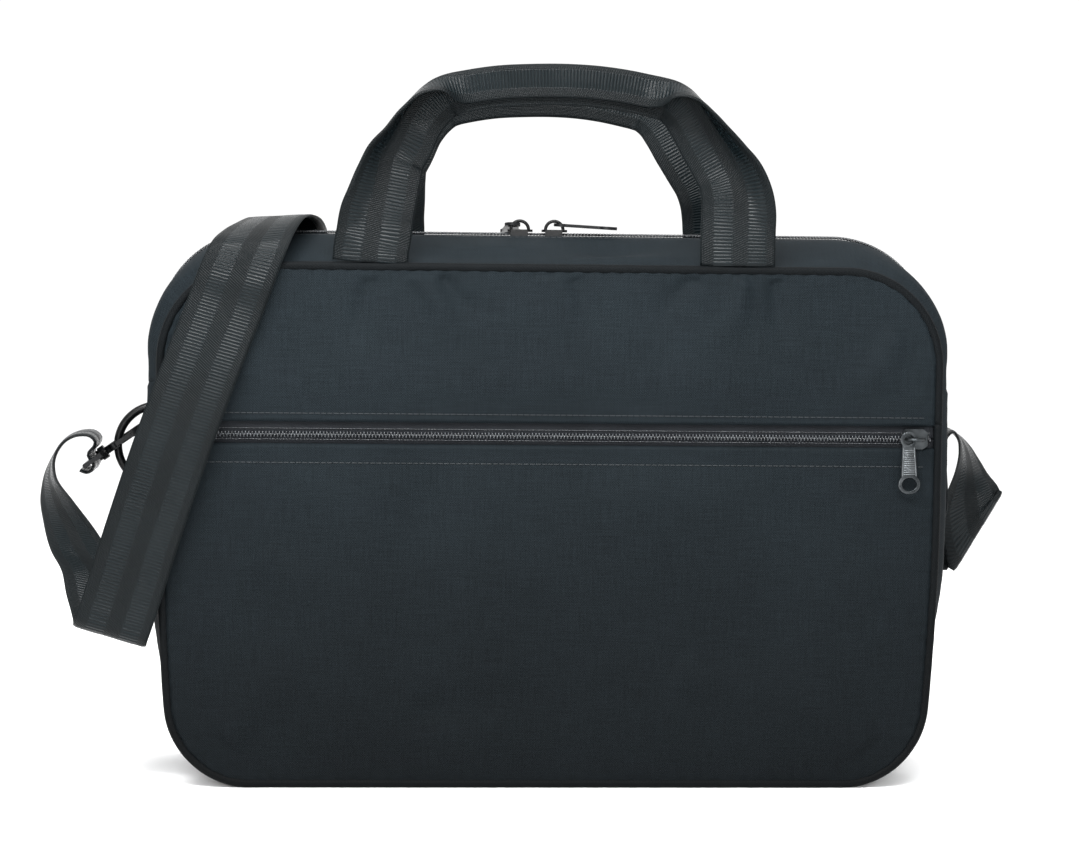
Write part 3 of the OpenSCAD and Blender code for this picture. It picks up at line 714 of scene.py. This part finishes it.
def tooth(centre, along, across, out, reach, root):
    """One turn of a zip coil: a rounded bar with a broader head at the middle of the zip."""
    stations = np.array([[root, -0.55, 0.34], [root - 0.15, 0.0, 0.46], [root * 0.55, 0.34, 0.44],
                         [reach + 0.5, 0.3, 0.5], [reach - 0.15, 0.0, 0.58], [reach - 0.45, -0.4, 0.4]])
    ang = np.arange(6) * math.pi / 3
    rows = []
    for k, (d, h, r) in enumerate(stations):
        before, after = stations[max(0, k - 1)], stations[min(5, k + 1)]
        lean = unit(np.array([after[0] - before[0], after[1] - before[1]]))
        up = across * -lean[1] + out * lean[0]
        if lean[0] < 0:
            up = -up
        c = centre + across * d + out * h
        rows.append(c + r * 0.86 * np.cos(ang)[:, None] * along + r * np.sin(ang)[:, None] * up)
    U, V = np.meshgrid(np.arange(6.0), np.arange(7.0), indexing="ij")
    return grid_parts(np.stack(rows), U, V, close_j=True, caps=True, flip=True)


def coil(name, points, along, across, out, phase, root, node, seam=None, **how):
    """Teeth of one half of a zip along a line of points; across points away from the zip's middle.

    seam is how far out the coil's sewing shows on the tape; without it the sewing lies over the teeth."""
    s = run_length(points)
    parts = []
    for q in np.arange(1 + phase * TOOTH_PITCH, s[-1] - 0.6, TOOTH_PITCH):
        at = [np.array([np.interp(q, s, a[:, k]) for k in range(3)]) for a in (points, along, across, out)]
        parts.append(tooth(at[0], unit(at[1]), unit(at[2]), unit(at[3]), 0.1, root))
    q = np.arange(0.5, s[-1] - 0.5, TOOTH_PITCH / 2)
    rise = np.where(np.arange(len(q)) % 2 == 0, 0.62, 0.42)
    at = [np.stack([np.interp(q, s, a[:, k]) for k in range(3)], 1) for a in (points, across, out)]
    lift = rise[:, None] + 0.1 if seam is None else rise[:, None] - 0.75
    thread = at[0] + at[1] * (seam or root * 0.72) + at[2] * lift
    for a, b in zip(thread[:-1], thread[1:]):
        parts.append(capsule(a, b, 0.17, sides=4))
    return finish_piece(merged(name, parts, COIL), "bag", "zip_coil", node, **how)


for label, side in (("front", -1), ("back", 1)):
    zip_tape(f"main_zip_tape_{label}", side, f"main_tape_{label}", blends=side < 0)
    path = upper_outline(1.2)
    middle = gusset_points(path, np.array([0.0]), -0.35)[:, 0]
    out = np.stack([path[:, 2], 0 * path[:, 0], path[:, 3]], 1)
    along = np.gradient(middle, axis=0)
    across = np.tile([0.0, float(side), 0.0], (len(path), 1))
    coil(f"main_zip_coil_{label}", middle, along, across, out, 0 if side < 0 else 0.5, 2.5,
         f"main_coil_{label}", blends=side < 0)

POCKET_X = box_mm("pocket_tape_lower")[1][0]
POCKET_END = SEAM_W * taper(ZIP_Z) - 1.6  # the tapes run into the side seams
for label, way in (("lower", -1), ("upper", 1)):
    x = np.linspace(-POCKET_END, POCKET_END, 127)
    depth = np.array([0.3, 1.2, 3.4, 3.9] + ([7, 10.5, 13] if way < 0 else [6, 8.5, 11]))
    X, D = np.meshgrid(x, depth, indexing="ij")
    wavy = 0.18 * wobble(np.stack([X, D, 0 * X], -1), 14, 6.6)
    y = -HALF_DEPTH + 0.15 + np.where(D < 3.6, -0.35, 0) + np.where(D > 7.5, 0.75 + 0.1 * (D - 7.5), 0) + wavy
    P = np.stack([X, y, ZIP_Z + way * D], -1)
    tape = thicken(grid_object(f"pocket_zip_tape_{label}", P, X, D, TAPE, flip=way < 0), 0.5)
    finish_piece(tape, "bag", "zip_tape", f"pocket_tape_{label}")
    line_x = np.arange(-POCKET_X + 2, box_mm("pocket_slider")[1][0] + 3, 1.5)
    middle = np.stack([line_x, np.full_like(line_x, -HALF_DEPTH - 0.75), np.full_like(line_x, ZIP_Z)], 1)
    along, across, out = (np.tile(v, (len(line_x), 1)) for v in ([1.0, 0, 0], [0, 0, float(way)], [0, -1.0, 0]))
    coil(f"pocket_zip_coil_{label}", middle, along, across, out, 0 if way < 0 else 0.5, 1.5,
         f"pocket_coil_{label}", seam=2.5 if way < 0 else 3.0)

# ---------- lining and stiffener ----------
lining_lo, lining_hi = box_mm("pocket_lining")
z = panel_rows(lining_lo[2], lining_hi[2], 3.5, 5)
t = np.linspace(-1, 1, 61)
X = row_half_width(z, 3.5)[:, None] * t
Z = z[:, None] * np.ones_like(t)
Y = -HALF_DEPTH + 2.9 + 0.5 * wobble(np.stack([X, 0 * X, Z], -1), 40, 8.8)
finish_piece(thicken(grid_object("pocket_inner_cloth", np.stack([X, Y, Z], -1), X, Z, LINING), 0.4),
             "bag", "lining", "pocket_lining")


def rounded_slab(name, lo, hi, mat):
    size, centre = hi - lo, (lo + hi) / 2
    ends = (-0.5, 0.5)
    corners = np.array([[a, b, c] for a in ends for b in ends for c in ends]) * size + centre
    faces = [[0, 1, 3, 2], [4, 6, 7, 5], [0, 4, 5, 1], [2, 3, 7, 6], [0, 2, 6, 4], [1, 5, 7, 3]]
    flat = {0: (1, 2), 1: (1, 2), 2: (0, 2), 3: (0, 2), 4: (0, 1), 5: (0, 1)}
    uvs = [[corners[v][flat[k][0]], corners[v][flat[k][1]]] for k, f in enumerate(faces) for v in f]
    obj = mesh_object(name, corners, faces, uvs, mat, flat=True)
    m = obj.modifiers.new("worn edges", "BEVEL")
    m.width, m.segments = 0.9 * MM, 3
    return obj


finish_piece(rounded_slab("stiffener", *box_mm("base_board"), BOARD), "bag", "board", "base_board")


# ---------- webbing ----------
def web_section(count=22):
    """Closed section of a webbing: shares of the half width, and heights in half thicknesses."""
    w = np.linspace(-1, 1, count)
    band = (np.abs(np.abs(w + 0.04) - 0.46) < 0.25) * 0.14
    edge = np.sqrt(np.maximum(1 - np.maximum(np.abs(w) - 0.93, 0) ** 2 / 0.07**2, 0.06))
    top = (0.88 + band) * edge
    return np.concatenate([w, w[::-1]]), np.concatenate([top, -top[::-1]])


def ribbon(name, centres, halves, thickness, mat, uv_width=WEB_W):
    """Flat webbing along centres; halves are the half-width vectors."""
    along = np.gradient(centres, axis=0)
    n = unit(np.cross(halves, along))
    w, h = web_section()
    P = centres[:, None] + halves[:, None] * w[:, None] + n[:, None] * (h * thickness / 2)[:, None]
    across = (w + 1) / 2 * uv_width
    U, V = np.meshgrid(run_length(centres), np.append(across, across[0]), indexing="ij")
    return grid_object(name, P, U, V, mat, close_j=True, caps=True)


def handle(name, y0, side, stations, body):
    """Carrying handle: legs flat at the feet, whose outer part folds over the rest to make a doubled grip.

    stations are [x, height over the feet, fold angle, depth offset] of the line where the webbing folds."""
    c = through([[x, 0, z, fold, dy] for x, z, fold, dy in stations], 1.4)
    fold, line_pts = np.radians(np.clip(c[:, 3], 0, 178)), c[:, :3]
    tangent = unit(np.gradient(line_pts, axis=0))
    inward = np.stack([tangent[:, 2], 0 * tangent[:, 0], -tangent[:, 0]], 1)
    over = np.array([0, side, 0.0])
    w, h = web_section(38)
    inner, outer = 21, 17
    reach = (w + 1) / 2 * WEB_W - inner  # from the lower edge of the back layer, 0 at the fold
    fine = np.linspace(-inner, outer, 260)
    rows_out = []
    for k in range(len(c)):
        bend = 2.7 + 6.5 * (1 - smooth((c[k, 2] - 45) / 40))
        turn = fold[k] * smooth((fine + bend) / (2 * bend))
        step = -inward[k] * np.cos(turn)[:, None] + over * np.sin(turn)[:, None]
        spine = np.cumsum(step, axis=0) * (fine[1] - fine[0])
        spine -= spine[np.argmin(np.abs(fine))]
        centre = np.stack([np.interp(reach, fine, spine[:, a]) for a in range(3)], 1)
        direct = np.stack([np.interp(reach, fine, step[:, a]) for a in range(3)], 1)
        normal = unit(np.cross(tangent[k], direct))
        curl = 1.9 * np.where(w < 0, w**2, 0.5 * w**2) * math.cos(fold[k] / 2)
        base = line_pts[k] + np.array([0, y0 - c[k, 4] * side, FOOT_Z])
        rows_out.append(base + centre + normal * (h * 1.05)[:, None] - over * curl[:, None])
    P = np.stack(rows_out)
    U, V = np.meshgrid(run_length(line_pts), np.append((w + 1) / 2, 0) * WEB_W, indexing="ij")
    P += 0.35 * wobble(P, 19, 4.4)[..., None] * np.array([0, 1, 0])
    obj = grid_object(name, P, U, V, WEBBING, close_j=True, caps=True, flip=side > 0)
    return finish_piece(obj, body, "webbing", body)


HANDLE_FOLD = [
    [-94.6, -1, 0, 0], [-94.1, 6, 0, 0.2], [-92.9, 13, 5, 0.9], [-91.8, 22.9, 18, 2.2], [-90.2, 31, 32, 3.4],
    [-88, 43.5, 50, 4.6], [-86, 52.4, 62, 5], [-81.2, 61.8, 74, 4.8], [-75.8, 73.9, 86, 4.2],
    [-67, 85.2, 100, 3.2],
    [-59.3, 90.9, 124, 2.4], [-53, 93.2, 158, 2], [-46.6, 94.6, 174, 1.8], [-30.5, 97.2, 178, 1.6],
    [-12, 98.4, 178, 1.6], [7.4, 98.6, 178, 1.6], [22.2, 97.8, 178, 1.6], [37.1, 95.9, 177, 1.8],
    [49.1, 93.6, 172, 2], [55.5, 92.2, 154, 2.2], [60.8, 90.6, 128, 2.6], [66.5, 87.2, 110, 3.2],
    [71.4, 82.5, 98, 3.8], [76.6, 74.8, 88, 4.4], [82, 65.1, 77, 5], [88, 54.8, 66, 5.2], [93, 45, 52, 4.6],
    [95.4, 34, 34, 3.6], [95.6, 26, 19, 2.4], [95.2, 18, 8, 1.4], [95, 8, 0, 0.3], [95, -1, 0, 0]]


def back_line(x, z, fold, dy):
    """The rear handle stands closer together at the feet and leans the other way."""
    rise = smooth(z / 62)
    return [x + (9 - 6.5 * rise if x < 0 else 2.4 - 6.4 * rise) * min(1, abs(x) / 50), 0.98 * z, fold, dy]


handle("carry_handle_front", -HALF_DEPTH - 0.9, -1, HANDLE_FOLD, "handle_front")
handle("carry_handle_back", HALF_DEPTH + 0.9, 1, [back_line(*row) for row in HANDLE_FOLD], "handle_back")

# shoulder strap: rows of [x, y, z, half-width x, y, z], from the left hook round the bag to the right hook
STRAP_Y = (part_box("d_ring_left")[0][1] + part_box("d_ring_left")[1][1]) / 2 / MM
HALF_WEB = WEB_W / 2
RIGHT_BAR_Y = 39.6
STRAP = [[x, STRAP_Y, z, 0, -HALF_WEB, 0] for x, z in (
    (-243.2, 155.7), (-239.9, 154.5), (-237.1, 155.7), (-236.1, 158.1), (-237.2, 160.6), (-239, 163.4),
    (-238.6, 165.2), (-236.2, 167.8), (-235.4, 170.8), (-238, 173.6), (-243.5, 174.2))] + [
    # down the left side and through the loose bend below it
    [-251.5, 27.5, 171, 0.5, -19, 0], [-257.5, 27, 163, 1.5, -19, 0], [-259.8, 25, 152.5, 4.5, -18.4, 0],
    [-256, 17, 141, 10, -16.1, 0], [-248, 4, 127, 14.6, -12.2, -0.5], [-240, -11, 114, 17, -8.3, -1.5],
    [-231, -27, 104, 18.2, -4.8, -2.6], [-226.6, -40, 91.5, 18.4, -2, -4.2], [-224, -45.6, 84, 18.2, 0, -5.4],
    [-222.6, -48, 79.2, 18.2, 0, -5.4], [-222.2, -51.6, 77.6, 18.2, 0, -5.4],
    [-221.2, -54.9, 80.4, 18.2, 0, -5.4],
    # up the front and over the ridge
    [-218.6, -56.2, 88, 18.2, 0, -5.4], [-205.4, -58.6, 130, 18.2, 0, -5.4],
    [-190, -61.5, 176, 18.2, 0, -5.4],
    [-175.5, -59.4, 216, 18.2, 0, -5.2], [-164, -56.4, 246, 18.2, 0, -5.2],
    [-158.5, -55.8, 261, 18.3, -0.6, -4.8],
    [-153.5, -50.6, 273.4, 18.4, -3.2, -3], [-149, -39, 281.2, 18, -6, -0.6],
    [-144, -23, 286.8, 17.4, -7.4, 1.2],
    [-139.5, -4, 289, 17.2, -8, 1], [-136, 15, 287.6, 17.4, -7.6, 1], [-134, 33, 282, 17.8, -6, 2.6],
    [-133.6, 47.6, 276.4, 18.4, -3, 3.4], [-133.2, 55.4, 264, 18.7, -0.6, 3.2], [-131, 56, 247, 18.5, 0, 4.4],
    # slanting down the back
    [-119, 55.6, 212, 16.8, 0, 8.9], [-93, 55.6, 177, 13.6, 0, 13.3], [-52, 55.6, 144, 10.6, 0, 15.8],
    [-2, 55.6, 116, 7.6, 0, 17.4],
    [55, 55.6, 100, 4, 0, 18.5], [110, 56.4, 97, -0.6, 0, 19], [160, 59.4, 104.7, -3.6, 0, 18.6],
    [196, 62.9, 112.6, -4.2, 0, 18.5], [220, 63.4, 117.9, -3.6, 0, 18.7], [232, 63.2, 120.5, 5, 0, 21],
    # turned over on a diagonal crease
    [241, 63, 122.5, 13, 0, 22], [242.6, 62.3, 121.6, 13, 0, 22], [243.2, 61.1, 121.2, 13, 0, 22],
    [242.6, 59.9, 121.6, 13, 0, 22], [241, 59.2, 122.5, 13, 0, 22],
    # up, over, and down round the bar of the right hook
    [238.6, 58.9, 131, 16.5, 1.5, 12], [236.9, 58.2, 140, 16.6, 5, 7], [236.2, 57, 149, 13.6, 12.6, 3.5],
    [235.2, 55.2, 158, 10, 16, 2], [233, 53.8, 167, 6.4, 17.8, 1], [228.5, 53, 174.5, 3, 18.7, 0],
    [223, 52.6, 177.8, 0.5, 19, 0], [219.6, 52, 175.4, 0, 19, 0], [218.4, 51, 167, 0, 19, 0],
    [218.4, 48, 155, 0, 19, 0], [218.4, 44.5, 145, 0, 19, 0], [217.6, 41.6, 137, 0, 19, 0],
    [215.8, 40, 131.6, 0, 19, 0]] + [[x, RIGHT_BAR_Y, z, 0, HALF_WEB, 0] for x, z in (
        (213.4, 127.2), (211.3, 123.8), (210.2, 121.4), (207, 119.2), (203.8, 122.4), (205.1, 125.3),
        (208, 126.3), (211.3, 127.6), (212.3, 130.4), (212.5, 132.8))]
route = through(STRAP, 1.8)
strap = ribbon("strap_webbing", route[:, :3], route[:, 3:], 1.8, WEBBING)
finish_piece(strap, "bag", "webbing", "shoulder_strap", blends=True)

# ---------- side tabs ----------
ring_lo, ring_hi = box_mm("d_ring_left")
TAB_Z, RING_X = (ring_lo[2] + ring_hi[2]) / 2, -ring_hi[0] + 2.2
for label, side in (("left", 1), ("right", -1)):
    turn = np.radians(np.arange(-35, 236, 18))
    loop = [[1.6, -16], [2.4, -9], [2.9, -4]] + [[3.15 * math.cos(a), 3.15 * math.sin(a)] for a in turn]
    loop += [[-0.9, -4.4], [0.2, -9], [-0.2, -16]]
    rows = [[side * (x - RING_X), STRAP_Y + y, TAB_Z] for x, y in loop]
    c = through(rows, 0.8)
    halves = np.tile([0, 0, 18.0], (len(c), 1))
    tab = ribbon(f"ring_tab_{label}", c, halves, 1.5, WEBBING, uv_width=36)
    finish_piece(tab, "bag", "webbing", f"side_tab_{label}")


# ---------- pocket pull ----------
def cut_plate(outline, holes, thick, soft):
    """Flat plate of points [x, z] with holes and rounded edges, standing in the xz plane."""
    curve = bpy.data.curves.new("plate", "CURVE")
    curve.dimensions, curve.fill_mode = "2D", "BOTH"
    curve.extrude, curve.bevel_depth, curve.bevel_resolution, curve.offset = thick / 2 - soft, soft, 2, -soft
    for ring in [outline] + holes:
        spline = curve.splines.new("POLY")
        spline.points.add(len(ring) - 1)
        for point, (x, z) in zip(spline.points, ring):
            point.co = (x, z, 0, 1)
        spline.use_cyclic_u = True
    obj = bpy.data.objects.new("plate", curve)
    bpy.context.scene.collection.objects.link(obj)
    mesh = bpy.data.meshes.new_from_object(obj)
    bm = bmesh.new()
    bm.from_mesh(mesh)
    bmesh.ops.remove_doubles(bm, verts=bm.verts, dist=1e-4)
    verts = np.array([[v.co.x, -v.co.z, v.co.y] for v in bm.verts])
    faces = [[v.index for v in f.verts] for f in bm.faces]
    bm.free()
    bpy.data.objects.remove(obj)
    bpy.data.curves.remove(curve)
    bpy.data.meshes.remove(mesh)
    return verts, faces, [[verts[k][0], verts[k][2]] for f in faces for k in f]


pull_lo, pull_hi = box_mm("pocket_pull")
PULL_EYE, PULL_HOLE, PULL_RING, PULL_TILT = 4.1, 2.75, (5.6, 5.0), math.radians(2)
eye_z = pull_hi[2] - PULL_EYE
ring_drop = eye_z - pull_lo[2] - PULL_RING[1]
z = np.concatenate([PULL_EYE * np.cos(np.linspace(0, 1.45, 14)), np.linspace(0, -ring_drop, 26)[1:-1],
                    -ring_drop - PULL_RING[1] * np.sin(np.linspace(0, math.pi / 2, 16))])
FLARE, FLARE_RUN = 0.95, 18
blade = np.where(z < 0, 3.1 + FLARE * np.clip(-z / FLARE_RUN, 0, 1), 0)
half = np.maximum.reduce([np.sqrt(np.maximum(PULL_EYE**2 - z**2, 0)), blade * (z > -ring_drop),
                          PULL_RING[0] * np.sqrt(np.maximum(1 - ((z + ring_drop) / PULL_RING[1]) ** 2, 0))])
outline = np.vstack([np.stack([half, z], 1), np.stack([-half, z], 1)[-2:0:-1]])
turn = np.linspace(0, 2 * math.pi, 33)[:-1]
eye_hole = np.stack([PULL_HOLE * np.cos(turn), PULL_HOLE * np.sin(turn)], 1)
ring_hole = np.stack([3.8 * np.cos(turn), 3.4 * np.sin(turn) - ring_drop], 1)
thick = pull_hi[1] - pull_lo[1]
parts = [cut_plate(outline, [eye_hole, ring_hole], thick * 0.8, 0.32)]
for face in (-thick * 0.4, thick * 0.4):  # finger ridges, and a rail at each side of them
    for drop in np.arange(5.6, ring_drop - 4.6, 1.1):
        reach = 1.9 + FLARE * drop / FLARE_RUN
        parts.append(capsule(np.array([-reach, face, -drop]), np.array([reach, face, -drop]), 0.3, sides=8))
    for way in (-1, 1):
        parts.append(capsule(np.array([way * 2.7, face, -4.4]), np.array([way * 3.45, face, 4.4 - ring_drop]),
                             0.36, sides=8))
cos, sin = math.cos(PULL_TILT), math.sin(PULL_TILT)
tilt = np.array([[cos, 0, -sin], [0, 1, 0], [sin, 0, cos]])
eye_x = (pull_lo[0] + pull_hi[0]) / 2 - ring_drop * sin
place = np.array([eye_x, (pull_lo[1] + pull_hi[1]) / 2, eye_z])
parts = [(np.asarray(v) @ tilt.T + place, f, u) for v, f, u in parts]
finish_piece(merged("pocket_pull_tab", parts, GUNMETAL), "pocket_pull", "gunmetal", "pocket_pull")

# ---------- hardware that keeps its CAD shape, with softened edges and its own finish ----------
for mat, slot_name, width, nodes in (
        (BLACK_METAL, "black_metal", 0.3, ("main_slider_left", "main_slider_right")),
        (BLACK_METAL, "black_metal", 0.35, ("main_pull_left", "main_pull_right")),
        (GUNMETAL, "gunmetal", 0.3, ("pocket_slider",)),
        (BLACK_METAL, "black_metal", 0, ("d_ring_left", "d_ring_right")),
        (BLACK_METAL, "black_metal", 0.7, ("snap_hook_left", "snap_hook_right")),
        (BLACK_METAL, "black_metal", 0.3, ("hook_gate_left", "hook_gate_right")),
        (BLACK_METAL, "black_metal", 0.4, ("hook_eye_left", "hook_eye_right"))):
    for node in nodes:
        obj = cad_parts[node]
        obj.data.materials.clear()
        obj.data.materials.append(mat)
        if width:
            m = obj.modifiers.new("soft edges", "BEVEL")
            m.width, m.segments, m.limit_method, m.angle_limit = width * MM, 3, "ANGLE", math.radians(35)
            m.use_clamp_overlap = True

# ---------- stage, light and camera ----------
FLOOR_Z = min(0.0, cad_lo[2])


def plain(name, colour, rough):
    s = Surface(name, rough=rough, specular=0.2)
    s.colour(s.ramp(s.noise(3, 2), (0.3, colour), (0.7, tuple(c * 0.985 for c in colour))))
    return s.mat


FLOOR_REACH = 4000
floor = mesh_object("floor", [[x * FLOOR_REACH, y * FLOOR_REACH, FLOOR_Z / MM] for x, y in (
    (-1, -1), (1, -1), (1, 1), (-1, 1))], [[0, 1, 2, 3]], None, plain("floor paint", (0.96, 0.962, 0.965), 0.8))


def soft_light(name, place, target, size, power):
    data = bpy.data.lights.new(name, "AREA")
    data.shape, data.size, data.size_y = "RECTANGLE", *size
    data.energy = power
    obj = bpy.data.objects.new(name, data)
    bpy.context.scene.collection.objects.link(obj)
    obj.location = place
    obj.rotation_euler = (Vector(target) - Vector(place)).to_track_quat("-Z", "Y").to_euler()


MIDDLE = (0, 0, 0.18)
soft_light("key", (-0.75, -1.15, 1.35), (-0.05, 0, 0.26), (0.9, 0.6), 10)
soft_light("near", (-0.12, -0.5, 0.8), (0, -0.04, 0.26), (0.9, 0.12), 15)
soft_light("glint", (-0.25, -1.3, 0.4), (-0.1, -0.05, 0.25), (0.9, 0.06), 9)
soft_light("fill", (1.5, -1.2, 0.9), MIDDLE, (1.0, 1.2), 5)
soft_light("top", (0.1, 0.1, 1.8), MIDDLE, (1.6, 1.2), 18)
world = bpy.data.worlds.new("studio")
bpy.context.scene.world = world
world.use_nodes = True
world.node_tree.nodes["Background"].inputs["Color"].default_value = (1, 1, 1, 1)
world.node_tree.nodes["Background"].inputs["Strength"].default_value = 1.05
bpy.context.scene.view_settings.view_transform = "Standard"

AZIMUTH, ELEVATION, ROLL = -3.5, 4.0, 0.7
DISTANCE, LENS = 1.45, 95.5
AIM = Vector((-0.0062, -0.05, 0.182))
camera_data = bpy.data.cameras.new("camera")
camera_data.lens, camera_data.sensor_width = LENS, 36
camera = bpy.data.objects.new("camera", camera_data)
bpy.context.scene.collection.objects.link(camera)
a, e = math.radians(AZIMUTH), math.radians(ELEVATION)
back = Vector((math.sin(a) * math.cos(e), -math.cos(a) * math.cos(e), math.sin(e)))
camera.location = AIM + back * DISTANCE
facing = (-back).to_track_quat("-Z", "Y").to_matrix().to_4x4()
camera.rotation_euler = (facing @ Matrix.Rotation(math.radians(ROLL), 4, "Z")).to_euler()
bpy.context.scene.camera = camera
